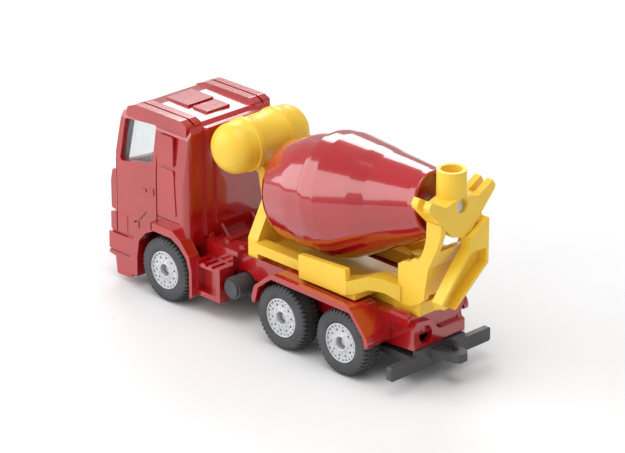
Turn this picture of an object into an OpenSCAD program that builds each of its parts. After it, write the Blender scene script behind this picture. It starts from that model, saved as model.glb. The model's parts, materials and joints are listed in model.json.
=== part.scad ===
// Toy cement mixer: a three-axle truck with a die-cast cab and chassis, a plastic underbody,
// free-rolling wheels and a tilted mixing drum that turns in a plastic frame.
// Millimetres. +X is forward, +Y is the truck's left, +Z is up, and the wheels stand on z = 0.

/* [Wheels] */
// Outer diameter of every tyre
tyre_d = 14; // [13.6:0.1:14.2]
// Width of every tyre
tyre_w = 4.6; // [4:0.1:4.8]
// Diameter of the wheel rim
rim_d = 8.4; // [8:0.1:9]
// Diameter of the steel axle pins
axle_d = 1.6; // [1.4:0.1:1.8]
// Position of the front axle
front_axle_x = 26.7; // [26.4:0.1:27]
// Position of the first rear axle
mid_axle_x = -7.8; // [-8.2:0.1:-7.5]
// Position of the last axle
rear_axle_x = -24.8; // [-25:0.1:-24.4]
// Distance from the middle of the truck to a front wheel's outer face
front_track_y = 14.6; // [14.4:0.1:14.7]
// Distance from the middle of the truck to a rear wheel's outer face
rear_track_y = 14.1; // [14:0.1:14.2]

/* [Cab and chassis] */
// Width of the cab at its waist
cab_w = 25.6; // [25:0.1:26]
// Height of the cab roof
cab_top = 40.3; // [39.5:0.1:40.8]
// Thickness of the die-cast walls
wall = 1.3; // [1.1:0.1:1.5]
// Width of the front bumper
bumper_w = 26.8; // [26.4:0.1:27]
// Width over the front wheel arches
arch_w = 29; // [28.8:0.1:29.2]
// Height of the chassis deck
deck_z = 14.2; // [14:0.1:14.3]
// Width over the rear mudguards
guard_w = 29; // [28.8:0.1:29.4]

/* [Drum] */
// Largest radius of the drum
drum_r = 13; // [12.6:0.1:13]
// Angle by which the drum's axis rises towards the rear
drum_tilt = 12; // [11:0.5:12]
// Wall thickness of the drum shells
drum_wall = 0.9; // [0.8:0.1:1.1]

/* [Hopper and tank] */
// Outer diameter of the filling tube
tube_d = 6; // [5.8:0.1:6.2]
// Inner diameter of the filling tube
tube_bore = 4.4; // [4:0.1:4.6]
// Height of the top of the filling tube
tube_top = 45.1; // [44.5:0.1:45.5]
// Radius of the water tank
tank_r = 5.4; // [5:0.1:5.5]
// Length of the water tank over its domed ends
tank_l = 23; // [22:0.1:23.5]

/* [Hidden] */
$fn = 48;

red = "firebrick";
yellow = "gold";
dark = [0.25, 0.25, 0.27];
bright = [0.85, 0.86, 0.88];

wheel_r = tyre_d / 2;
axle_r = axle_d / 2;
run_gap = 0.06;
fit = 0.02;
cut = 1;

// cab outline, seen from the side
cab_rear_x = 21.2;
cab_front_x = 44.4;
cab_floor_z = 4;
nose_x = 45.4;
sill_z = 26.8;
waist_z = 17.5;
arch_x = [18.3, 19.15, 35.4, 37.8];
arch_z = [14.9, 16.6];
roof_z = cab_top - 0.8;

// chassis
chassis_half = 8;
tail_x = -38.6;
guard_top = 16.1;
guard_t = 1;
guard_front_x = 0.8;
guard_rear_x = -33.5;
post_x = [38, -16.3];
post_r = 2.2;
rivet_r = 1.2;
rivet_head_r = 2.1;

// underbody
base_z = 4.6;
base_t = 1.4;
base_half = 7.2;
boss_half = 1.9;
lug_x = [-36, -34.8];
lug_half = 1;
bar_x = -39.2;
bar_half = 14.3;
bar_z = [3.3, 6.3];
loop_tip_x = -45.4;
air_x = 8.6;
air_z = 7.8;
air_r = 2.4;
air_end = 12.6;

// drum axis: a point in the plane of the drum's seam, and the way to local coordinates
seam_x = -11.6;
seam_z = 31.25;
rim_s = 26.7;
mouth_depth = 2.4;
front_face_s = -15.2;
spindle_r = 1.5;
spindle_front_s = -19.4;
spindle_rear_s = 32.4;

// rear frame
collector_x = [-44.2, -39.4];
tube_x = -41.2;
plate_y = [4.4, 5.8];
tank_x = 12.6;
tank_z = 36.4;
tank_band = 0.35;

module on_left_and_right() { children(); mirror([0, 1, 0]) children(); }
// extrudes a side view (x, z) across the truck, centred, or from y = from to y = to
module side_view(from, to) { translate([0, to, 0]) rotate([90, 0, 0]) linear_extrude(to - from) children(); }
// extrudes a rear view (y, z) along the truck
module rear_view(from, to) {
    translate([from, 0, 0]) rotate([90, 0, 90]) linear_extrude(to - from) children();
}
module rounded(r) { offset(r = r, $fn = 24) offset(delta = -r) children(); }
module box(low, high) { translate(low) cube(high - low); }
// puts a revolved shape on the drum's axis: local +Z points rearwards and up
module on_drum_axis() { translate([seam_x, 0, seam_z]) rotate([0, -90 + drum_tilt, 0]) children(); }
module across(x, z, from, to, r) { translate([x, from, z]) rotate([-90, 0, 0]) cylinder(h = to - from, r = r); }

// ---- cab and chassis casting ----
module cab_side() {
    rounded(0.8) polygon([[cab_rear_x, cab_floor_z], [cab_rear_x, roof_z - 1.4],
        [cab_rear_x + 1.6, roof_z - 0.2], [36, roof_z], [40.2, roof_z - 0.5], [42, cab_top - 2.6],
        [43.7, sill_z], [cab_front_x, waist_z],
        [cab_front_x, cab_floor_z]]);
}
module cab_section(inset) {
    half = cab_w / 2 - inset;
    top = roof_z - inset;
    rounded(0.8) polygon([[-half, -2], [-half, sill_z], [-half + 0.7, 36.5], [-half + 1.7, top - 0.7],
        [-half + 3.2, top], [half - 3.2, top], [half - 1.7, top - 0.7], [half - 0.7, 36.5], [half, sill_z],
        [half, -2]]);
}
module cab_outer() {
    intersection() {
        side_view(-cab_w, cab_w) cab_side();
        rear_view(cab_rear_x, nose_x) cab_section(0);
        linear_extrude(cab_top) rounded(1.6)
            translate([cab_rear_x, -cab_w / 2]) square([cab_front_x - cab_rear_x, cab_w]);
    }
}
module cab_cavity() {
    intersection() {
        side_view(-cab_w, cab_w) union() {
            offset(delta = -wall) cab_side();
            translate([cab_rear_x + wall, -cut]) square([cab_front_x - cab_rear_x - 2 * wall, 14]);
        }
        rear_view(cab_rear_x, nose_x) cab_section(wall);
    }
}
module arch_opening() {
    rounded(1) polygon([[arch_x[1], -2], [arch_x[1], 9], [20, 11.6], [22.2, 13.7], [24.6, arch_z[0]],
        [30, arch_z[0]], [32.6, 13.6], [34.6, 11.4], [arch_x[2] - 0.1, 7.5], [arch_x[2], -2]]);
}
module arch_outer() {
    rounded(1) polygon([[arch_x[0], 2.9], [arch_x[0], 9.3], [19.1, 12.2], [21.6, 15], [24.2, arch_z[1]],
        [31, arch_z[1]], [34.2, 14.4], [36.6, 10.9], [arch_x[3] - 0.1, 6], [arch_x[3], 2.9]]);
}
module wheel_arch_lip() {
    side_view(cab_w / 2 - 1.2, arch_w / 2) difference() { arch_outer(); arch_opening(); }
}
module side_window_outline() {
    rounded(0.7) polygon([[32, 28.9], [31.2, 37.4], [40.8, 36.6], [42.1, 26.9]]);
}
module windscreen_outline() {
    rounded(1) polygon([[-10.6, 26.4], [-10.2, 37], [10.2, 37], [10.6, 26.4]]);
}
module bumper() {
    half = bumper_w / 2;
    side_view(-half, half) rounded(0.4) polygon([[36.4, 4.4], [37.6, 3], [38.9, 1.2], [43, 1.1], [43.4, 4.9],
        [nose_x, 5.2], [nose_x, 10.3], [36.4, 10.3]]);
    side_view(-half + 0.5, half - 0.5) rounded(0.4) translate([40, 10]) square([nose_x - 40.2, 4.7]);
    // grille panel between bumper and windscreen
    side_view(-12.6, 12.6) rounded(0.6) polygon([[42, 15.2], [nose_x - 0.1, 15.2], [nose_x - 0.1, 21.6],
        [nose_x - 0.7, 24.4], [42, 24.4]]);
}
module roof_ribs() {
    // two rounded ribs along each side of the roof
    for (y = [7.6, 10]) side_view(y, y + 1.9) rounded(0.7) polygon([[22.2, 37], [22.2, roof_z + 0.1],
        [24, cab_top], [37.6, cab_top], [40.3, cab_top - 1], [40.8, 37]]);
}
module roof_hatches() {
    box([30.6, -3.6, roof_z - 1], [37.4, 3.6, roof_z + 0.4]);
    box([25.2, -3.2, roof_z - 1], [29.6, 3.2, roof_z + 0.3]);
}
module rear_wall_panel() {
    rear_view(cab_rear_x - 0.7, cab_rear_x + 0.5) rounded(0.6)
        translate([-8, deck_z]) square([16, 24.4]);
    rear_view(cab_rear_x - 1.3, cab_rear_x) rounded(0.5)
        translate([-5.6, deck_z]) square([11.2, 19]);
}
module side_details() {
    // raised pads behind the door, waist rib and door handle on one side
    side_view(cab_w / 2 - 0.4, cab_w / 2 + 0.2) {
        rounded(0.6) translate([25.2, 29.9]) square([4.5, 6.6]);
        rounded(0.6) polygon([[24.6, 18.9], [25.2, 29.2], [29.9, 29.2], [29.9, 18.9]]);
        rounded(0.3) translate([31.5, 21.8]) square([1.7, 1.5]);
        rounded(0.3) translate([33.8, 21.9]) square([1.7, 0.8]);
    }
}
module side_grooves() {
    // gaps of the door, the front panel and the bumper on one side
    side_view(cab_w / 2 - 0.35, cab_w) {
        translate([30.5, 14.9]) square([0.35, cab_top - 16.9]);
        translate([43.1, 10.6]) square([0.35, 16.6]);
        translate([23.6, 17.6]) square([6.9, 0.35]);
        polygon([[38, 14.3], [36.4, 15.1], [34.1, 17.6], [33.8, 17.3], [36.2, 14.8], [37.8, 14]]);
        translate([36.2, 12.9]) square([0.35, 2.2]);
    }
    box([38.2, bumper_w / 2 - 0.4, 5.9], [nose_x + cut, bumper_w, 6.4]);
    box([40, bumper_w / 2 - 0.9, 10.2], [nose_x + cut, bumper_w, 10.6]);
}
module side_step_box() {
    difference() {
        box([11.2, 9.2, 3.9], [18.9, 13.2, 11.4]);
        box([12.4, 11.6, 5], [17.7, 13.2 + cut, 10.4]);
        for (x = [12.6, 14.6, 16.6]) box([x, 9.8, 11], [x + 1, 13.2 + cut, 11.4 + cut]);
    }
    box([11.2, chassis_half - 1, 10], [18.9, 9.4, deck_z]);
}
module guard_outline(inset) {
    rounded(1.5 - inset * 0.4) polygon([[guard_front_x - inset, 7.6], [guard_front_x - inset - 1.2, 12],
        [guard_front_x - 6.2, guard_top - inset], [guard_rear_x + 5.8, guard_top - inset - 0.3],
        [guard_rear_x + inset + 1, 10.5], [guard_rear_x + inset, 7.6]]);
}
module rear_mudguard() {
    difference() {
        union() {
            side_view(chassis_half - 0.6, guard_w / 2 - 0.7) guard_outline(0.4);
            side_view(guard_w / 2 - 1.2, guard_w / 2) guard_outline(0);
        }
        side_view(chassis_half, guard_w) intersection() {
            guard_outline(guard_t + 0.2);
            translate([-60, 0]) square([100, 30]);
        }
        box([guard_rear_x - 2, chassis_half - 1, 0], [guard_front_x + 2, guard_w, 8.4]);
    }
}
module tail_frame() {
    // side plates, pierced panel on the left, sloping step on the right, and the lug that holds the mixer
    on_left_and_right() side_view(chassis_half - 1.9, chassis_half - 0.7)
        polygon([[-29, 7], [-32.3, deck_z + 0.6], [-36.6, deck_z + 0.9], [tail_x, 7.6]]);
    rear_view(tail_x, tail_x + 1.2) difference() {
        polygon([[7.3, 7.6], [7.3, 12.6], [6.2, 13.4], [2.6, 13], [0.4, 10.6], [-1, 10.2], [-1, 7.6]]);
        rounded(1.2) polygon([[5.8, 12.4], [3, 12], [2, 10.4], [2.6, 8.5], [5, 8.5], [5.8, 10]]);
    }
    side_view(-7.3, -0.8) rounded(0.3) polygon([[tail_x, 7.6], [tail_x, 10.3], [-37.6, 10.6], [-36.8, 12.2],
        [-36, 12.4], [-35.4, deck_z], [-33, deck_z], [-33, 12.2], [-36.4, 9], [-36.8, 7.6]]);
    rear_view(tail_x + 1, tail_x + 2.4) translate([-7.3, 10]) square([14.6, deck_z - 10]);
    box([lug_x[0], -lug_half, deck_z - 1], [lug_x[1], lug_half, 19.3]);
}
module body_casting() color(red) {
    difference() {
        union() {
            cab_outer();
            bumper();
            on_left_and_right() { wheel_arch_lip(); side_details(); roof_ribs(); }
            roof_hatches();
            rear_wall_panel();
        }
        cab_cavity();
        box([cab_rear_x + wall, -cab_w / 2 + wall, -cut], [nose_x - 1.6, cab_w / 2 - wall, 12]);
        // the underbody runs through the foot of the rear wall
        box([cab_rear_x - cut, -base_half - 0.3, -cut],
            [cab_rear_x + wall + cut, base_half + 0.3, base_z + base_t + 0.3]);
        on_left_and_right() {
            side_view(cab_w / 2 - 4, arch_w) arch_opening();
            side_view(cab_w / 2 - 3, bumper_w) side_window_outline();
            side_grooves();
        }
        rear_view(nose_x - 4.5, nose_x + cut) windscreen_outline();
        // radiator slots and headlamp recesses
        for (z = [12, 16.4, 18.4, 20.4]) box([nose_x - 0.8, -7, z], [nose_x + cut, 7, z + 0.9]);
        for (y = [-12, 8.6]) box([nose_x - 0.5, y, 5.6], [nose_x + cut, y + 3.4, 8.4]);
    }
    difference() {
        union() {
            box([tail_x + 1, -chassis_half, deck_z - 1.6], [cab_rear_x + 1, chassis_half, deck_z]);
            on_left_and_right() {
                box([guard_rear_x + 1, chassis_half - 1.2, 9.2], [cab_rear_x + 1, chassis_half, deck_z]);
                box([9.8, chassis_half - 3, deck_z - 0.5], [18.9, chassis_half + 1.4, deck_z + 0.5]);
                rear_mudguard();
                side_step_box();
            }
            for (x = [10.4, 15]) box([x, -7, deck_z - 0.5], [x + 1.4, 7, deck_z + 0.9]);
            // gusset fins and posts between the deck and the cab
            on_left_and_right() {
                side_view(4, 4.7) polygon([[16.8, 14], [17.4, 14], [20.2, 17], [cab_rear_x, 17], [cab_rear_x, 14]]);
                box([18.6, 7.6, 12], [19.3, 8.4, 15.8]);
            }
            tail_frame();
        }
        box([-12, -2, deck_z - 2], [-4, 2, deck_z + cut]);
        // the skirts make way for the air tank
        across(air_x, air_z, -air_end, air_end, air_r + 0.3);
    }
    for (x = post_x) translate([x, 0, base_z + base_t]) difference() {
        cylinder(h = (x > 0 ? 9.6 : deck_z - 1) - base_z - base_t, r = post_r);
        translate([0, 0, -cut]) cylinder(h = cut + 3.6, r = rivet_r + fit / 2);
    }
    // floor web that carries the front post
    box([cab_front_x - 7.8, -cab_w / 2 + 0.6, 9], [cab_front_x - 0.6, cab_w / 2 - 0.6, 10.2]);
}

// ---- cab glazing and inside ----
module window_insert() color([0.8, 0.88, 0.92, 0.5]) {
    difference() {
        intersection() {
            side_view(-cab_w, cab_w) intersection() {
                offset(delta = -wall - fit) cab_side();
                translate([23, 25.6]) square([30, 12.8]);
            }
            rear_view(cab_rear_x, nose_x) cab_section(wall + fit);
        }
        intersection() {
            side_view(-cab_w, cab_w) union() {
                offset(delta = -wall - 1) cab_side();
                translate([20, 20]) square([12, 20]);
            }
            rear_view(cab_rear_x, nose_x) cab_section(wall + 1);
            box([0, -20, 0], [60, 20, 37.5]);
        }
    }
}
module cab_interior() color([0.45, 0.45, 0.47]) {
    half = cab_w / 2 - wall - 1.2;
    box([cab_rear_x + wall + 0.1, -half, 16.2], [41.6, half, 17.6]);
    box([cab_rear_x + wall + 0.1, -half, 16.2], [24.6, half, 25]);
    for (y = [-half + 0.8, 1.4]) {
        box([27.4, y, 17], [33.6, y + 7.6, 21]);
        side_view(y, y + 7.6) rounded(0.6) polygon([[27, 17.4], [25.2, 33.4], [27, 34], [29.4, 20], [29.4, 17.4]]);
    }
    side_view(-half, half) rounded(0.6) polygon([[37.6, 17], [38, 25.2], [40.2, 26], [41.6, 24.6], [41.6, 17]]);
    translate([37.4, 5.2, 26.2]) rotate([0, -58, 0]) {
        rotate_extrude() translate([2.3, 0]) circle(r = 0.45, $fn = 20);
        cylinder(h = 0.6, r = 0.8, center = true);
        for (a = [0, 120, 240]) rotate([0, 0, a]) translate([0, -0.3, -0.3]) cube([2.3, 0.6, 0.6]);
    }
    translate([39, 5.2, 24.6]) rotate([0, -58, 0]) cylinder(h = 2.2, r = 0.5);
}

// ---- underbody ----
module tow_loop() {
    // flat triangular eye behind the bumper bar
    difference() {
        translate([0, 0, 5.1]) linear_extrude(1.9) rounded(1)
            polygon([[bar_x + 1, -3.6], [bar_x + 1, 3.6], [loop_tip_x, 1.3], [loop_tip_x, -1.3]]);
        translate([0, 0, 4]) linear_extrude(4) rounded(0.3)
            polygon([[bar_x - 0.6, -2], [bar_x - 0.6, 2], [-43.4, 0.6], [-43.4, -0.6]]);
        box([bar_x + 1.1, -5, 4], [bar_x + 3, 5, 8]);
    }
}
module base_plate() color(dark) {
    difference() {
        union() {
            box([tail_x + 1, -base_half, base_z], [41.8, base_half, base_z + base_t]);
            for (x = [front_axle_x, mid_axle_x, rear_axle_x])
                on_left_and_right() box([x - boss_half, base_half - 1.8, base_z],
                                        [x + boss_half, base_half, wheel_r + 1.9]);
            box([6.1, -6.4, base_z], [19, 6.4, air_z + air_r - 0.1]);
        }
        for (x = [front_axle_x, mid_axle_x, rear_axle_x])
            across(x, wheel_r, -base_half - cut, base_half + cut, axle_r + run_gap);
        for (x = post_x) translate([x, 0, base_z - cut]) {
            cylinder(h = base_t + 2 * cut, r = rivet_r + fit / 2);
            cylinder(h = cut + 0.5, r = rivet_head_r + 0.1);
        }
        across(air_x, air_z, -8, 8, air_r - 0.6);
        on_left_and_right() across(air_x, air_z, 6.4, 8, air_r + fit);
    }
    rear_view(bar_x, bar_x + 1.3) {
        rounded(0.5) translate([-bar_half, bar_z[0]]) square([2 * bar_half, bar_z[1] - bar_z[0]]);
        translate([-6.8, bar_z[0]]) square([13.6, 4.2]);
    }
    box([bar_x + 1.2, -base_half, base_z], [tail_x + 1.2, base_half, base_z + base_t]);
    tow_loop();
}
module air_tank() color(dark) {
    across(air_x, air_z, -7, 7, air_r - 0.6 - fit);
    on_left_and_right() {
        across(air_x, air_z, 6.4 + fit, air_end - 0.5, air_r);
        across(air_x, air_z, air_end - 0.6, air_end, air_r - 0.5);
    }
}
module base_rivets() color(bright) {
    for (x = post_x) translate([x, 0, base_z - 0.1]) {
        cylinder(h = base_t + 3, r = rivet_r);
        cylinder(h = 0.55, r = rivet_head_r);
    }
}

// ---- wheels ----
module axle(x, track) color(bright) {
    end = track - 1.1;
    across(x, wheel_r, -end, end, axle_r);
}
module tyre_at(x, track, side) color(dark) {
    translate([x, side * (track - tyre_w / 2), wheel_r]) rotate([-90 * side, 0, 0]) rotate_extrude($fn = 96) {
        difference() {
            rounded(0.9) translate([rim_d / 2 - 0.1, -tyre_w / 2]) square([wheel_r - rim_d / 2 + 0.1, tyre_w]);
            translate([0, -tyre_w]) square([rim_d / 2 + fit / 2, 2 * tyre_w]);
            for (z = [-0.9, 0.6]) translate([wheel_r - 0.25, z]) square([1, 0.3]);
        }
    }
}
module rim_at(x, track, side) color(bright) {
    translate([x, side * (track - tyre_w / 2), wheel_r]) rotate([-90 * side, 0, 0]) rotate_extrude($fn = 96)
        polygon([[axle_r, -tyre_w / 2 + 0.3], [rim_d / 2 - 0.8, -tyre_w / 2 + 0.3], [rim_d / 2 - 0.8, 0.6],
            [rim_d / 2, 0.6 - tyre_w / 2 + 0.3], [rim_d / 2, tyre_w / 2 - 0.15], [rim_d / 2 - 0.45, tyre_w / 2 - 0.15],
            [rim_d / 2 - 0.8, tyre_w / 2 - 0.6], [1.9, tyre_w / 2 - 0.35], [1.6, tyre_w / 2 - 0.35],
            [1.45, tyre_w / 2 - 1.5], [axle_r, tyre_w / 2 - 1.5]]);
}

// ---- mixer ----
module drum_profile_outer_front() {
    polygon([[0, front_face_s], [4.6, front_face_s], [8.2, front_face_s + 0.7], [10.2, front_face_s + 1.7],
        [10.9, front_face_s + 2.9], [11.6, -8.8], [12.2, -5.4], [12.6, 0], [drum_r - drum_wall, 0],
        [drum_r - drum_wall, 2], [0, 2]]);
}
module drum_front_shell() color(red) on_drum_axis() rotate_extrude($fn = 128) difference() {
    drum_profile_outer_front();
    polygon([[0, front_face_s + 1.2], [4.4, front_face_s + 1.2], [7.8, front_face_s + 1.8],
        [9.5, front_face_s + 2.8], [10, front_face_s + 3.4], [10.7, -8.6], [11.2, -5.2], [11.2, 3], [0, 3]]);
    translate([0, front_face_s - cut]) square([spindle_r - fit / 2, 6]);
}
module drum_rear_shell() color(red) on_drum_axis() rotate_extrude($fn = 128) difference() {
    polygon([[0, 0], [drum_r, 0], [drum_r, 1.2], [drum_r - 0.35, 3.9], [10.6, 11.7], [9.55, 15.2], [8.5, 19.4],
        [7, 25.2], [6.7, rim_s], [0, rim_s]]);
    // hollow inside, its end wall, and the recessed mouth
    polygon([[0, -cut], [drum_r - drum_wall + fit / 2, -cut], [drum_r - drum_wall + fit / 2, 2.2],
        [drum_r - drum_wall - 0.4, 3.9], [9.7, 11.6], [8.6, 15.2], [7.5, 19.4], [7, 21.6], [0, 21.6]]);
    polygon([[0, rim_s - mouth_depth], [5.7, rim_s - mouth_depth], [5.9, rim_s + cut], [0, rim_s + cut]]);
    square([spindle_r - fit / 2, rim_s]);
}
module drum_spindle() color(bright) on_drum_axis()
    translate([0, 0, spindle_front_s]) cylinder(h = spindle_rear_s - spindle_front_s, r = spindle_r - fit);

module spindle_bore(from, to) {
    on_drum_axis() translate([0, 0, from]) cylinder(h = to - from, r = spindle_r - fit + run_gap);
}
module front_pedestal() {
    // tapering bearing wall in front of the drum, with the bracket that carries the water tank
    rear_view(4.6, 7.4) rounded(0.8) polygon([[-8.6, deck_z], [-8.6, 18.6], [-3.2, 28.6], [-2.6, 30], [2.6, 30],
        [3.2, 28.6], [8.6, 18.6], [8.6, deck_z]]);
    side_view(-2.6, 2.6) polygon([[4.6, deck_z], [4.6, 22], [6.2, 26], [9.4, 32.6], [9.4, 33.4],
        [15, 33.4], [15, 32.2], [10.6, 30.2], [9.4, 24], [9.4, deck_z]]);
}
module side_beam() {
    // broad beam under the drum's flank, its flat outer panel, and the arched rear arm
    box([-11, 6.4, deck_z + 2], [5, 9.4, 18.4]);
    box([-26, 8.2, guard_top - 0.3], [-11, 11.2, 18.6]);
    side_view(10.9, 12.2) rounded(0.4) polygon([[-11.2, 16.4], [-11, 21.5], [-24.3, 22.2], [-24.6, 16.7]]);
    intersection() {
        side_view(0, 20) polygon([[-22.6, 16.4], [-22.6, 19.4], [-25, 19.8], [-28, 21], [-30.4, 20.9],
            [-33.6, 19.6], [-33.6, 16.4], [-31, 17.9], [-28.4, 18.3], [-25.6, 17]]);
        linear_extrude(40) polygon([[-22, 8.6], [-22, 12.2], [-24.4, 12.2], [-33.6, 6.2], [-33.6, 4.4], [-30, 4.4]]);
    }
    box([-26, 3, guard_top - 0.3], [-22.6, 9, 16.9]);
    box([-12.4, 3, guard_top - 0.3], [-8.4, 9, 16.9]);
}
module rear_plate_outline() {
    polygon([[-32.6, 16], [-32.6, 24.2], [-34, 25.2], [-35.8, 25.6], [-36.8, 26.6], [-38, 26.7], [-38.8, 27.6],
        [-39.6, 29.6], [-40.1, 31.7], [-40.2, 35.4], [-44, 35.4], [-44, 33.4], [-43, 30.2], [-40.8, 25.6],
        [-40.3, 23], [-39.6, 18.4], [-38.6, 17.4], [-36, 16]]);
}
module mixer_frame() color(yellow) {
    difference() {
        union() {
            box([-36.6, -4.8, deck_z], [8.4, 4.8, deck_z + 2.6]);
            box([-38, -5.2, deck_z], [-30.8, 5.2, 16.9]);
            front_pedestal();
            on_left_and_right() { side_beam(); side_view(plate_y[0], plate_y[1]) rear_plate_outline(); }
            side_view(-plate_y[0] - 0.2, plate_y[0] + 0.2)
                polygon([[-39.6, 19], [-38.4, 19], [-39.3, 24.6], [-41.4, 29.2], [-42.5, 29.2], [-40.6, 25.4],
                    [-40.2, 23]]);
        }
        spindle_bore(spindle_front_s - 6, 0);
        tank_cut();
        box([lug_x[0] - fit, -lug_half - fit, 10], [lug_x[1] + fit, lug_half + fit, 20]);
    }
}
module tank_cut() { across(tank_x, tank_z, -20, 20, tank_r + fit); }
module water_tank() color(yellow) {
    half = tank_l / 2;
    translate([tank_x, 0, tank_z]) rotate([90, 0, 0]) rotate_extrude($fn = 96) {
        polygon([[0, -half], [2.6, -half + 0.2], [4.2, -half + 1.1], [5.1, -half + 2.5], [tank_r, -half + 4.2],
            [tank_r, half - 4.2], [5.1, half - 2.5], [4.2, half - 1.1], [2.6, half - 0.2], [0, half]]);
        for (s = [-1, 1]) translate([0, s * 4.4 - 0.7]) square([tank_r + tank_band, 1.4]);
    }
}
module collector_outline() {
    polygon([[0, 39.9], [2.6, 39.6], [4.6, 39], [8.6, 41.2], [9.4, 40], [9.2, 39.2], [5.6, 35.4],
        [2.6, 32.2], [0, 31.5],
        [-2.6, 32.2], [-5.6, 35.4], [-9.2, 39.2], [-9.4, 40], [-8.6, 41.2], [-4.6, 39], [-2.6, 39.6]]);
}
module hopper() color(yellow) {
    difference() {
        union() {
            rear_view(collector_x[0], collector_x[1]) collector_outline();
            translate([tube_x, 0, 38]) cylinder(h = tube_top - 38, r = tube_d / 2);
        }
        // tube bore, groove along each arm, bearing bore for the drum, and the sockets for the rear plates
        translate([tube_x, 0, 40.6]) cylinder(h = 10, r = tube_bore / 2);
        on_left_and_right() box([-42.6, 5, 38.4], [-41, 12, 45]);
        spindle_bore(20, 40);
        on_left_and_right()
            box([-44 - fit, plate_y[0] - fit, 30], [-40.2 + fit, plate_y[1] + fit, 35.4 + fit]);
    }
}
module chute_outline() {
    polygon([[-6.6, 34.2], [-1.4, 31.4], [-1.4, 29], [1.2, 26], [6.6, 19.4], [5.6, 17.4], [3, 16.9],
        [-6.6, 24.6]]);
}
module discharge_chute() color(yellow) {
    difference() {
        rear_view(-45.3, -42.6) chute_outline();
        rear_view(-46, -43.1) intersection() {
            offset(delta = -0.7) chute_outline();
            translate([-20, 18.6]) square([40, 9.4]);
        }
        rear_view(-46, -43.1) polygon([[3, 20.4], [5, 18.2], [8, 18], [8, 16], [3.6, 16], [1.4, 18.8]]);
        box([-44 - fit, -plate_y[1] - fit, 28], [-42, -plate_y[0] + fit, 36]);
    }
}

body_casting();
window_insert();
cab_interior();
base_plate();
air_tank();
base_rivets();
axle(front_axle_x, front_track_y);  // front_axle
axle(mid_axle_x, rear_track_y);  // mid_axle
axle(rear_axle_x, rear_track_y);  // rear_axle
rim_at(front_axle_x, front_track_y, 1);  // rim_front_left
rim_at(front_axle_x, front_track_y, -1);  // rim_front_right
rim_at(mid_axle_x, rear_track_y, 1);  // rim_mid_left
rim_at(mid_axle_x, rear_track_y, -1);  // rim_mid_right
rim_at(rear_axle_x, rear_track_y, 1);  // rim_rear_left
rim_at(rear_axle_x, rear_track_y, -1);  // rim_rear_right
tyre_at(front_axle_x, front_track_y, 1);  // tyre_front_left
tyre_at(front_axle_x, front_track_y, -1);  // tyre_front_right
tyre_at(mid_axle_x, rear_track_y, 1);  // tyre_mid_left
tyre_at(mid_axle_x, rear_track_y, -1);  // tyre_mid_right
tyre_at(rear_axle_x, rear_track_y, 1);  // tyre_rear_left
tyre_at(rear_axle_x, rear_track_y, -1);  // tyre_rear_right
mixer_frame();
water_tank();
hopper();
discharge_chute();
drum_front_shell();
drum_rear_shell();
drum_spindle();
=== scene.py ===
"""Looks of the toy cement mixer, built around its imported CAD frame. Metres, +X forward, +Y left, +Z up."""

import json
import math

import bmesh
import bpy
from mathutils import Matrix, Vector


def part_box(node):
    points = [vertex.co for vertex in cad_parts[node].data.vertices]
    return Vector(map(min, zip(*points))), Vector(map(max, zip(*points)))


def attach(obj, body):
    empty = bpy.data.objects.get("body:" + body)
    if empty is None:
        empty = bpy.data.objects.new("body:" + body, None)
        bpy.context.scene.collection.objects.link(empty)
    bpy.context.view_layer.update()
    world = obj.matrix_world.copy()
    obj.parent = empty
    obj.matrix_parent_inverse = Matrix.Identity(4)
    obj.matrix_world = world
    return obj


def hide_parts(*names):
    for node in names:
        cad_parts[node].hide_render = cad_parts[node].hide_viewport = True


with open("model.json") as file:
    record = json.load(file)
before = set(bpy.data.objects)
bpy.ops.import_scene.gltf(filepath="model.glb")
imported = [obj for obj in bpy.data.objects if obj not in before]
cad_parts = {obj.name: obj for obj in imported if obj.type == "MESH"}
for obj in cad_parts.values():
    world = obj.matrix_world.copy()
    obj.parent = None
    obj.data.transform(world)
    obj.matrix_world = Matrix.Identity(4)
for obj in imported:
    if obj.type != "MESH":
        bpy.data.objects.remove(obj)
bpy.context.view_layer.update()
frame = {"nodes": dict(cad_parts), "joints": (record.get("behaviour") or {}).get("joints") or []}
nodes = frame["nodes"]
joints = {joint["name"]: joint for joint in frame["joints"]}

# The sizes and outlines of pieces are in millimetres. Lights, camera and materials are in metres.
MM = 0.001


# ---- small helpers ----
def add(name, data):
    """Puts a new object with this data into the scene."""
    thing = bpy.data.objects.new(name, data)
    bpy.context.scene.collection.objects.link(thing)
    return thing


def size_mm(node):
    """A CAD node's size along X, Y and Z at rest."""
    low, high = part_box(node)
    return [(high[axis] - low[axis]) / MM for axis in range(3)]


def smooth(mesh, angle=0.6):
    """Smooth shading that keeps edges sharper than the angle, in radians."""
    mesh.polygons.foreach_set("use_smooth", [True] * len(mesh.polygons))
    mesh.set_sharp_from_angle(angle=angle)


def arc(centre, radius, start, end, steps):
    """Profile points (radius from axis, height) on an arc, angles in degrees."""
    points = []
    for step in range(steps + 1):
        angle = math.radians(start + (end - start) * step / steps)
        points.append((centre[0] + radius * math.cos(angle), centre[1] + radius * math.sin(angle)))
    return points


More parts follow.
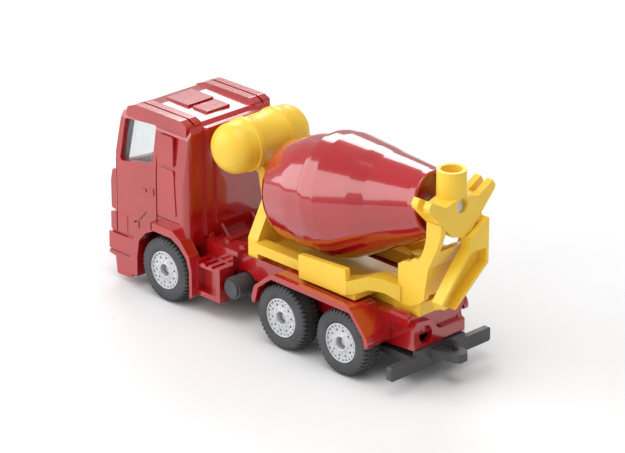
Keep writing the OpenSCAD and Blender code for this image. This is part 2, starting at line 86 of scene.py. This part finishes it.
def revolve(profile, segments, radius_of=None):
    """A bmesh turned about local Z from profile points (radius, height).
    radius_of(radius, height, turn) may change the radius round the turn."""
    on_axis = 1e-6
    bm = bmesh.new()
    rings = []
    for radius, height in profile:
        if radius < on_axis:
            rings.append([bm.verts.new((0, 0, height * MM))])
            continue
        ring = []
        for step in range(segments):
            turn = step / segments
            r = radius_of(radius, height, turn) if radius_of else radius
            angle = 2 * math.pi * turn
            ring.append(bm.verts.new((r * math.cos(angle) * MM, r * math.sin(angle) * MM, height * MM)))
        rings.append(ring)
    for low, high in zip(rings, rings[1:]):
        for step in range(segments):
            after = (step + 1) % segments
            if len(low) == 1:
                bm.faces.new((low[0], high[after], high[step]))
            elif len(high) == 1:
                bm.faces.new((low[step], low[after], high[0]))
            else:
                bm.faces.new((low[step], low[after], high[after], high[step]))
    bmesh.ops.recalc_face_normals(bm, faces=bm.faces)
    bmesh.ops.remove_doubles(bm, verts=bm.verts, dist=1e-7)
    return bm


def eased(points, radius):
    """Rounds each inner corner of a profile, and adds points that keep the stretches between them straight.
    Corners next to a stretch too short for that stay sharp."""
    shortest = 0.3
    guard = 0.05
    result = [points[0]]
    for before, corner, after in zip(points, points[1:], points[2:]):
        back = Vector(before) - Vector(corner)
        ahead = Vector(after) - Vector(corner)
        if back.length < shortest or ahead.length < shortest:
            result.append(corner)
            continue
        reach = min(radius, back.length / 3, ahead.length / 3)
        start = Vector(corner) + back.normalized() * reach
        end = Vector(corner) + ahead.normalized() * reach
        middle = (start + end) / 4 + Vector(corner) / 2
        result.append(tuple(start + back.normalized() * guard))
        result += [tuple(start), tuple(middle), tuple(end)]
        result.append(tuple(end + ahead.normalized() * guard))
    return result + [points[-1]]


def around(count, radius, height, shift=0.0):
    """Evenly spaced places on a circle about local Z. A shift of 0.5 starts half a space on."""
    places = []
    for step in range(count):
        angle = 2 * math.pi * (step + shift) / count
        spot = (radius * math.cos(angle) * MM, radius * math.sin(angle) * MM, height * MM)
        places.append(Matrix.Translation(spot))
    return places


def to_mesh(bm, name, matrix=None, angle=0.6):
    """Turns a bmesh into a smooth-shaded mesh, moved by the matrix."""
    if matrix is not None:
        bm.transform(matrix)
    mesh = bpy.data.meshes.new(name)
    bm.to_mesh(mesh)
    bm.free()
    smooth(mesh, angle)
    return mesh


# ---- materials ----
def shader(name, settings):
    """A new material whose main shader has these sockets set."""
    material = bpy.data.materials.new(name)
    material.use_nodes = True
    tree = material.node_tree
    bsdf = tree.nodes["Principled BSDF"]
    for socket, value in settings.items():
        bsdf.inputs[socket].default_value = value
    return material, tree, bsdf


def noise(tree, scale, detail):
    """Noise in the object's own coordinates, scale in features per metre."""
    coords = tree.nodes.new("ShaderNodeTexCoord")
    texture = tree.nodes.new("ShaderNodeTexNoise")
    texture.inputs["Scale"].default_value = scale
    texture.inputs["Detail"].default_value = detail
    texture.inputs["Roughness"].default_value = 0.5
    tree.links.new(coords.outputs["Object"], texture.inputs["Vector"])
    return texture.outputs["Fac"]


def colour(tree, bsdf, source, low, high):
    """Lets the base colour drift between two tones."""
    node = tree.nodes.new("ShaderNodeValToRGB")
    for element, position, tone in zip(node.color_ramp.elements, (0.35, 0.65), (low, high)):
        element.position = position
        element.color = (*tone, 1)
    tree.links.new(source, node.inputs["Fac"])
    tree.links.new(node.outputs["Color"], bsdf.inputs["Base Color"])


def roughness(tree, bsdf, source, low, high):
    """Lets the roughness drift between two values."""
    node = tree.nodes.new("ShaderNodeMapRange")
    node.inputs["To Min"].default_value = low
    node.inputs["To Max"].default_value = high
    tree.links.new(source, node.inputs["Value"])
    tree.links.new(node.outputs["Result"], bsdf.inputs["Roughness"])


def bump(tree, bsdf, source, distance, strength, before=None):
    """Adds a bump, its distance in metres, on top of the one before."""
    node = tree.nodes.new("ShaderNodeBump")
    node.inputs["Distance"].default_value = distance
    node.inputs["Strength"].default_value = strength
    tree.links.new(source, node.inputs["Height"])
    if before is not None:
        tree.links.new(before, node.inputs["Normal"])
    tree.links.new(node.outputs["Normal"], bsdf.inputs["Normal"])
    return node.outputs["Normal"]


def red_enamel():
    """Stove enamel on the die-cast body: orange peel, faint flow marks, a hard clear gloss."""
    settings = {"Coat Weight": 0.9, "Coat IOR": 1.62, "Coat Roughness": 0.05}
    material, tree, bsdf = shader("red_enamel", settings)
    colour(tree, bsdf, noise(tree, 130, 4), (0.37, 0.003, 0.005), (0.43, 0.005, 0.008))
    roughness(tree, bsdf, noise(tree, 420, 2), 0.16, 0.26)
    peel = bump(tree, bsdf, noise(tree, 650, 2), 0.00004, 0.5)
    bump(tree, bsdf, noise(tree, 2600, 2), 0.00001, 0.35, peel)
    return material


def red_gloss_plastic():
    """Polished red moulding of the drum, with a touch of depth and fine mould sheen."""
    settings = {"Subsurface Weight": 0.12, "Subsurface Radius": (0.0012, 0.0003, 0.0002),
                "Coat Weight": 0.9, "Coat IOR": 1.65, "Coat Roughness": 0.04}
    material, tree, bsdf = shader("red_gloss_plastic", settings)
    colour(tree, bsdf, noise(tree, 90, 3), (0.37, 0.003, 0.008), (0.42, 0.005, 0.011))
    roughness(tree, bsdf, noise(tree, 300, 3), 0.13, 0.2)
    bump(tree, bsdf, noise(tree, 900, 2), 0.00001, 0.5)
    return material


def yellow_plastic():
    """Warm yellow moulding that lets a little light through, with a satin skin."""
    settings = {"Subsurface Weight": 0.35, "Subsurface Radius": (0.0028, 0.0016, 0.0003)}
    material, tree, bsdf = shader("yellow_plastic", settings)
    colour(tree, bsdf, noise(tree, 110, 3), (0.88, 0.57, 0.04), (0.93, 0.62, 0.055))
    roughness(tree, bsdf, noise(tree, 500, 3), 0.3, 0.42)
    bump(tree, bsdf, noise(tree, 2200, 3), 0.000012, 0.5)
    return material


def dark_plastic(name, low, high, rough_low, rough_high):
    """Dark moulding with a spark-eroded grain."""
    material, tree, bsdf = shader(name, {})
    colour(tree, bsdf, noise(tree, 240, 4), low, high)
    roughness(tree, bsdf, noise(tree, 900, 4), rough_low, rough_high)
    bump(tree, bsdf, noise(tree, 3600, 3), 0.00003, 0.6)
    return material


def silver_rim():
    """Silvered wheel plastic, a soft metal sheen with fine speckle."""
    material, tree, bsdf = shader("silver_rim", {"Metallic": 0.35})
    colour(tree, bsdf, noise(tree, 1400, 3), (0.52, 0.53, 0.55), (0.63, 0.64, 0.66))
    roughness(tree, bsdf, noise(tree, 1900, 3), 0.3, 0.44)
    bump(tree, bsdf, noise(tree, 3000, 3), 0.00002, 0.5)
    return material


def drawn_steel():
    """Bright drawn wire of the axles, the spindle and the rivets."""
    material, tree, bsdf = shader("drawn_steel", {"Metallic": 1.0})
    colour(tree, bsdf, noise(tree, 1500, 4), (0.62, 0.6, 0.57), (0.78, 0.76, 0.73))
    roughness(tree, bsdf, noise(tree, 2500, 4), 0.25, 0.4)
    bump(tree, bsdf, noise(tree, 5000, 2), 0.00001, 0.5)
    return material


def clear_plastic():
    """Clear window moulding, very slightly uneven."""
    settings = {"Base Color": (0.93, 0.96, 0.97, 1), "Transmission Weight": 0.92, "IOR": 1.3}
    material, tree, bsdf = shader("clear_plastic", settings)
    roughness(tree, bsdf, noise(tree, 300, 2), 0.02, 0.06)
    bump(tree, bsdf, noise(tree, 200, 2), 0.00002, 0.4)
    return material


MATERIALS = {
    "red_paint": red_enamel(),
    "red_plastic": red_gloss_plastic(),
    "yellow_plastic": yellow_plastic(),
    "dark_plastic": dark_plastic("dark_plastic", (0.045, 0.046, 0.05), (0.07, 0.071, 0.076), 0.38, 0.52),
    "grey_plastic": dark_plastic("grey_plastic", (0.2, 0.2, 0.21), (0.26, 0.26, 0.27), 0.45, 0.6),
    "tyre": dark_plastic("tyre_plastic", (0.04, 0.041, 0.044), (0.062, 0.063, 0.067), 0.5, 0.65),
    "rim": silver_rim(),
    "steel": drawn_steel(),
    "clear": clear_plastic(),
}


# ---- CAD nodes that stay: material, welded mesh and rounded edges ----
# node: material slot, width of its rounded edges
KEPT_NODES = {
    "body_casting": ("red_paint", 0.17),
    "window_insert": ("clear", 0.1),
    "cab_interior": ("grey_plastic", 0.2),
    "base_plate": ("dark_plastic", 0.22),
    "air_tank": ("dark_plastic", 0.25),
    "base_rivets": ("steel", 0.12),
    "mixer_frame": ("yellow_plastic", 0.3),
    "hopper": ("yellow_plastic", 0.3),
    "discharge_chute": ("yellow_plastic", 0.22),
    "drum_spindle": ("steel", 0.2),
    "front_axle": ("steel", 0.15),
    "mid_axle": ("steel", 0.15),
    "rear_axle": ("steel", 0.15),
}


def soften(node, slot, width):
    """Gives a CAD node its material, and rounds its edges with modifiers."""
    piece = nodes[node]
    piece.data.materials.clear()
    piece.data.materials.append(MATERIALS[slot])
    weld = piece.modifiers.new("weld", "WELD")
    weld.merge_threshold = 0.000002
    edges = piece.modifiers.new("rounded_edges", "BEVEL")
    edges.width = width * MM
    edges.segments = 3
    edges.limit_method = "ANGLE"
    edges.angle_limit = math.radians(28)
    edges.use_clamp_overlap = True
    edges.harden_normals = True
    edges.miter_outer = "MITER_ARC"


for kept_node, (kept_slot, edge_width) in KEPT_NODES.items():
    soften(kept_node, kept_slot, edge_width)


# ---- pieces that replace CAD nodes ----
def stand_in(mesh, name, node, body, slot):
    """Makes a piece of the mesh that rides on the body and stands for the CAD node."""
    piece = add(name, mesh)
    mesh.materials.clear()
    mesh.materials.append(MATERIALS[slot])
    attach(piece, body)
    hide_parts(node)


# ---- wheels ----
# body: first part of its node names, joint
WHEEL_NODES = {
    "front_wheels": ("front", "front_roll"),
    "mid_wheels": ("mid", "mid_roll"),
    "rear_wheels": ("rear", "rear_roll"),
}
TREAD_BLOCKS = 44
OUTER_HOLES = 22
INNER_HOLES = 10


def tyre_mesh(radius, inner, width):
    """A tyre about local Z, outer face at +width / 2, with blocks cut into both shoulders."""
    half = width / 2
    shoulder = 0.8
    gap_depth = 0.32
    ring_groove = 0.3
    block_start = radius - 1.1
    block_fade = 0.3
    crown_half = 1.0
    steps_per_block = 8
    gap_start = 0.3
    gap_end = 0.7
    side = [(inner, -half + 0.35), (inner + 0.1, -half + 0.12), (inner + 0.45, -half),
            (inner + 1.1, -half), (radius - 1.35, -half + 0.02), (radius - 1.15, -half + 0.08)]
    lower = arc((radius - shoulder, -half + shoulder), shoulder, -80, -4, 7)
    crown = [(radius, -half + 1.15), (radius, -0.62), (radius - ring_groove, -0.55),
             (radius - ring_groove, -0.3), (radius, -0.23)]
    mirrored = [(r, -z) for r, z in reversed(side + lower + crown)]
    profile = side + lower + crown + mirrored + [(inner, half - 0.35), (inner, -half + 0.35)]

    def blocks(r, z, turn):
        """The radius with a gap cut in the middle of each block's share of the turn."""
        if r < block_start or abs(z) < crown_half:
            return r
        phase = (turn * TREAD_BLOCKS) % 1.0
        if gap_start < phase < gap_end:
            return r - gap_depth * min(1.0, (r - block_start) / block_fade)
        return r

    return to_mesh(revolve(profile, TREAD_BLOCKS * steps_per_block, blocks), "tyre", angle=0.5)


def drill(blank, cutter):
    """A new mesh: the blank with the cutter bmesh taken away."""
    body = add("rim_blank", blank)
    holes = add("rim_holes", bpy.data.meshes.new("rim_holes"))
    cutter.to_mesh(holes.data)
    cutter.free()
    boolean = body.modifiers.new("holes", "BOOLEAN")
    boolean.operation = "DIFFERENCE"
    boolean.solver = "EXACT"
    boolean.object = holes
    bpy.context.view_layer.update()
    drilled = bpy.data.meshes.new_from_object(body.evaluated_get(bpy.context.evaluated_depsgraph_get()))
    bpy.data.objects.remove(body)
    bpy.data.objects.remove(holes)
    return drilled


def rim_mesh(radius, width, axle_r):
    """A wheel rim about local Z, outer face up, with two rings of holes and a ring of nuts."""
    back = -width / 2 + 0.3
    face = width / 2 - 0.25
    profile = [(axle_r, back), (radius - 0.9, back)]
    profile += [(radius - 0.9, face - 2.4), (radius - 0.02, face - 2.4)]
    profile += arc((radius - 0.22, face + 0.02), 0.2, 0, 120, 5)
    profile += [(radius - 0.4, face - 0.04), (3.0, face - 0.12), (2.4, face - 0.05), (2.2, face - 0.02)]
    profile += arc((1.5, face), 0.2, 60, 180, 5)
    profile += [(1.28, face - 1.7), (axle_r, face - 1.75), (axle_r, back)]
    cutter = bmesh.new()
    for count, ring, hole, shift in ((OUTER_HOLES, 3.6, 0.21, 0.0), (INNER_HOLES, 2.8, 0.26, 0.5)):
        for place in around(count, ring, face, shift):
            bmesh.ops.create_cone(cutter, cap_ends=True, segments=12, radius1=hole * MM, radius2=hole * MM,
                                  depth=1.5 * MM, matrix=place)
    drilled = drill(to_mesh(revolve(profile, 96), "rim"), cutter)
    bm = bmesh.new()
    bm.from_mesh(drilled)
    for place in around(INNER_HOLES, 2.02, face + 0.05):
        bmesh.ops.create_cone(bm, cap_ends=True, segments=6, radius1=0.17 * MM, radius2=0.12 * MM,
                              depth=0.22 * MM, matrix=place)
    bm.to_mesh(drilled)
    bm.free()
    smooth(drilled, 0.5)
    return drilled


def build_wheels():
    """Six tyres and six rims, copied from one of each, a hair clear of each other and of the axle."""
    tyre_gap = 0.02
    axle_gap = 0.01
    _, tyre_width, tyre_height = size_mm("tyre_mid_left")
    rim_r = size_mm("rim_mid_left")[2] / 2
    axle_r = size_mm("mid_axle")[2] / 2
    tyre = tyre_mesh(tyre_height / 2, rim_r + tyre_gap, tyre_width)
    rim = rim_mesh(rim_r, tyre_width, axle_r + axle_gap)
    for body, (prefix, joint) in WHEEL_NODES.items():
        centre = Vector(joints[joint]["pos_m"])
        for side, sign in (("left", 1), ("right", -1)):
            tyre_node = f"tyre_{prefix}_{side}"
            rim_node = f"rim_{prefix}_{side}"
            low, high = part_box(tyre_node)
            middle = Vector((centre.x, (low[1] + high[1]) / 2, centre.z))
            outwards = Matrix.Rotation(math.radians(-90 * sign), 4, "X")
            # each wheel stands at its own angle, so that their holes and blocks don't line up
            start_angle = 23.0 * (middle.x * 100 % 5) + 40 * sign
            start = Matrix.Rotation(math.radians(start_angle), 4, "Z")
            place = Matrix.Translation(middle) @ outwards @ start
            for mesh, node, slot in ((tyre, tyre_node, "tyre"), (rim, rim_node, "rim")):
                copy = mesh.copy()
                copy.transform(place)
                stand_in(copy, node + "_look", node, body, slot)


build_wheels()


# ---- drum ----
# Heights are along the spindle from the seam of the shells, front negative.
DRUM_SEGMENTS = 192
SPINDLE_HOLE_R = 1.5


def drum_place():
    """The matrix that takes a form turned about local Z to the drum's axis, which lies in the XZ plane."""
    joint = joints["drum_spin"]
    axis = Vector(joint["axis"]).normalized()
    right = Vector((0, -1, 0))
    basis = Matrix((right, axis.cross(right), axis)).transposed().to_4x4()
    return Matrix.Translation(Vector(joint["pos_m"])) @ basis


def front_shell_outline():
    """Round nose of the drum, outside then inside, from the spindle hole."""
    face = -15.2
    floor = face + 1.2
    outside = [(SPINDLE_HOLE_R, floor), (SPINDLE_HOLE_R, face), (4.6, face), (8.15, face + 0.72),
               (10.15, face + 1.75), (10.85, face + 2.95), (11.5, -8.8), (12.05, -5.4), (12.32, 0),
               (12.05, 0), (12.05, 2)]
    inside = [(11.2, 2), (11.2, -5.2), (10.7, -8.6), (10.0, face + 3.4), (9.5, face + 2.8),
              (7.8, face + 1.8), (4.4, floor), (SPINDLE_HOLE_R, floor)]
    return outside + inside


def rear_shell_outline():
    """Long cone of the drum: its front rim steps out over the front shell, and its end wall is sunk in."""
    rim = 26.7
    wall_out = rim - 2.4
    wall_in = 21.6
    outside = [(12.11, 2.2), (12.11, 0), (13.0, 0), (12.98, 1.2), (12.62, 3.9), (10.57, 11.7), (9.5, 15.2),
               (8.45, 19.4), (6.95, 25.2), (6.65, rim), (5.95, rim), (5.75, wall_out),
               (SPINDLE_HOLE_R, wall_out), (SPINDLE_HOLE_R, wall_in)]
    inside = [(7, wall_in), (7.5, 19.4), (8.6, 15.2), (9.7, 11.6), (11.7, 3.9), (12.11, 2.2)]
    return outside + inside


def build_drum():
    """Both shells as smooth turned forms."""
    place = drum_place()
    shells = (("drum_front", front_shell_outline(), 0.9), ("drum_rear", rear_shell_outline(), 0.22))
    for name, outline, easing in shells:
        mesh = to_mesh(revolve(eased(outline, easing), DRUM_SEGMENTS), name, place, 0.5)
        stand_in(mesh, name + "_look", name + "_shell", "drum", "red_plastic")


build_drum()


# ---- water tank ----
def build_tank():
    """The tank that lies across, as one turned form with domed ends and a raised band near each end."""
    low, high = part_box("water_tank")
    centre = (Vector(low) + Vector(high)) / 2
    _, length, height = size_mm("water_tank")
    half = length / 2
    band = height / 2
    radius = 5.4
    fillet_r = radius + 0.08
    dome = 4.2
    dome_steps = 12
    dome_fullness = 0.9
    profile = [(0, -half)]
    for step in range(1, dome_steps + 1):
        angle = math.radians(90 * step / dome_steps)
        profile.append((radius * math.sin(angle) ** dome_fullness, -half + dome * (1 - math.cos(angle))))
    profile += [(radius, -5.3), (fillet_r, -5.15), (band, -4.95), (band, -3.85), (fillet_r, -3.65),
                (radius, -3.5)]
    profile += [(r, -z) for r, z in reversed(profile)]
    place = Matrix.Translation(centre) @ Matrix.Rotation(math.radians(90), 4, "X")
    mesh = to_mesh(revolve(profile, 128), "water_tank", place)
    stand_in(mesh, "water_tank_look", "water_tank", "chassis", "yellow_plastic")


build_tank()


# ---- studio ----
CAMERA_PLACE = (-0.446489, 0.434488, 0.281328)
CAMERA_RIGHT = (-0.699729, -0.714408, -0.000672)
CAMERA_UP = (0.275341, -0.270551, 0.922491)


def camera():
    """The camera, behind the truck's left side and above it."""
    data = bpy.data.cameras.new("camera")
    data.lens = 190.08
    data.sensor_width = 36
    data.clip_start = 0.01
    data.clip_end = 20
    cam = add("camera", data)
    right = Vector(CAMERA_RIGHT)
    up = Vector(CAMERA_UP)
    turn = Matrix((right, up, right.cross(up))).transposed().to_4x4()
    cam.matrix_world = Matrix.Translation(CAMERA_PLACE) @ turn
    bpy.context.scene.camera = cam


def area_light(name, place, target, size, power):
    """A rectangular light that faces the target."""
    data = bpy.data.lights.new(name, "AREA")
    data.shape = "RECTANGLE"
    data.size, data.size_y = size
    data.energy = power
    light = add(name, data)
    light.location = place
    light.rotation_euler = (Vector(target) - Vector(place)).to_track_quat("-Z", "Y").to_euler()


def pale_floor():
    """A plain pale floor."""
    bm = bmesh.new()
    bmesh.ops.create_grid(bm, x_segments=2, y_segments=2, size=3)
    mesh = bpy.data.meshes.new("floor")
    bm.to_mesh(mesh)
    bm.free()
    material, tree, bsdf = shader("white_floor", {"Roughness": 0.7})
    colour(tree, bsdf, noise(tree, 20, 2), (0.80, 0.80, 0.805), (0.82, 0.82, 0.825))
    mesh.materials.append(material)
    floor = add("floor", mesh)


def studio():
    """Soft even surroundings, the floor and four area lights."""
    scene = bpy.context.scene
    scene.view_settings.view_transform = "Standard"
    scene.world = bpy.data.worlds.new("studio")
    scene.world.use_nodes = True
    background = scene.world.node_tree.nodes["Background"]
    background.inputs["Color"].default_value = (1, 1, 1, 1)
    background.inputs["Strength"].default_value = 0.46
    pale_floor()
    area_light("top", (-0.05, 0.05, 0.6), (0, 0, 0.02), (0.5, 0.5), 2.2)
    area_light("left", (-0.1, 0.6, 0.28), (0, 0, 0.02), (0.5, 0.4), 0.5)
    area_light("front_left", (0.46, 0.46, 0.3), (-0.01, 0, 0.03), (0.75, 0.55), 3.0)
    area_light("back", (0.5, -0.45, 0.45), (0, 0, 0.02), (0.4, 0.3), 1.8)


camera()
studio()
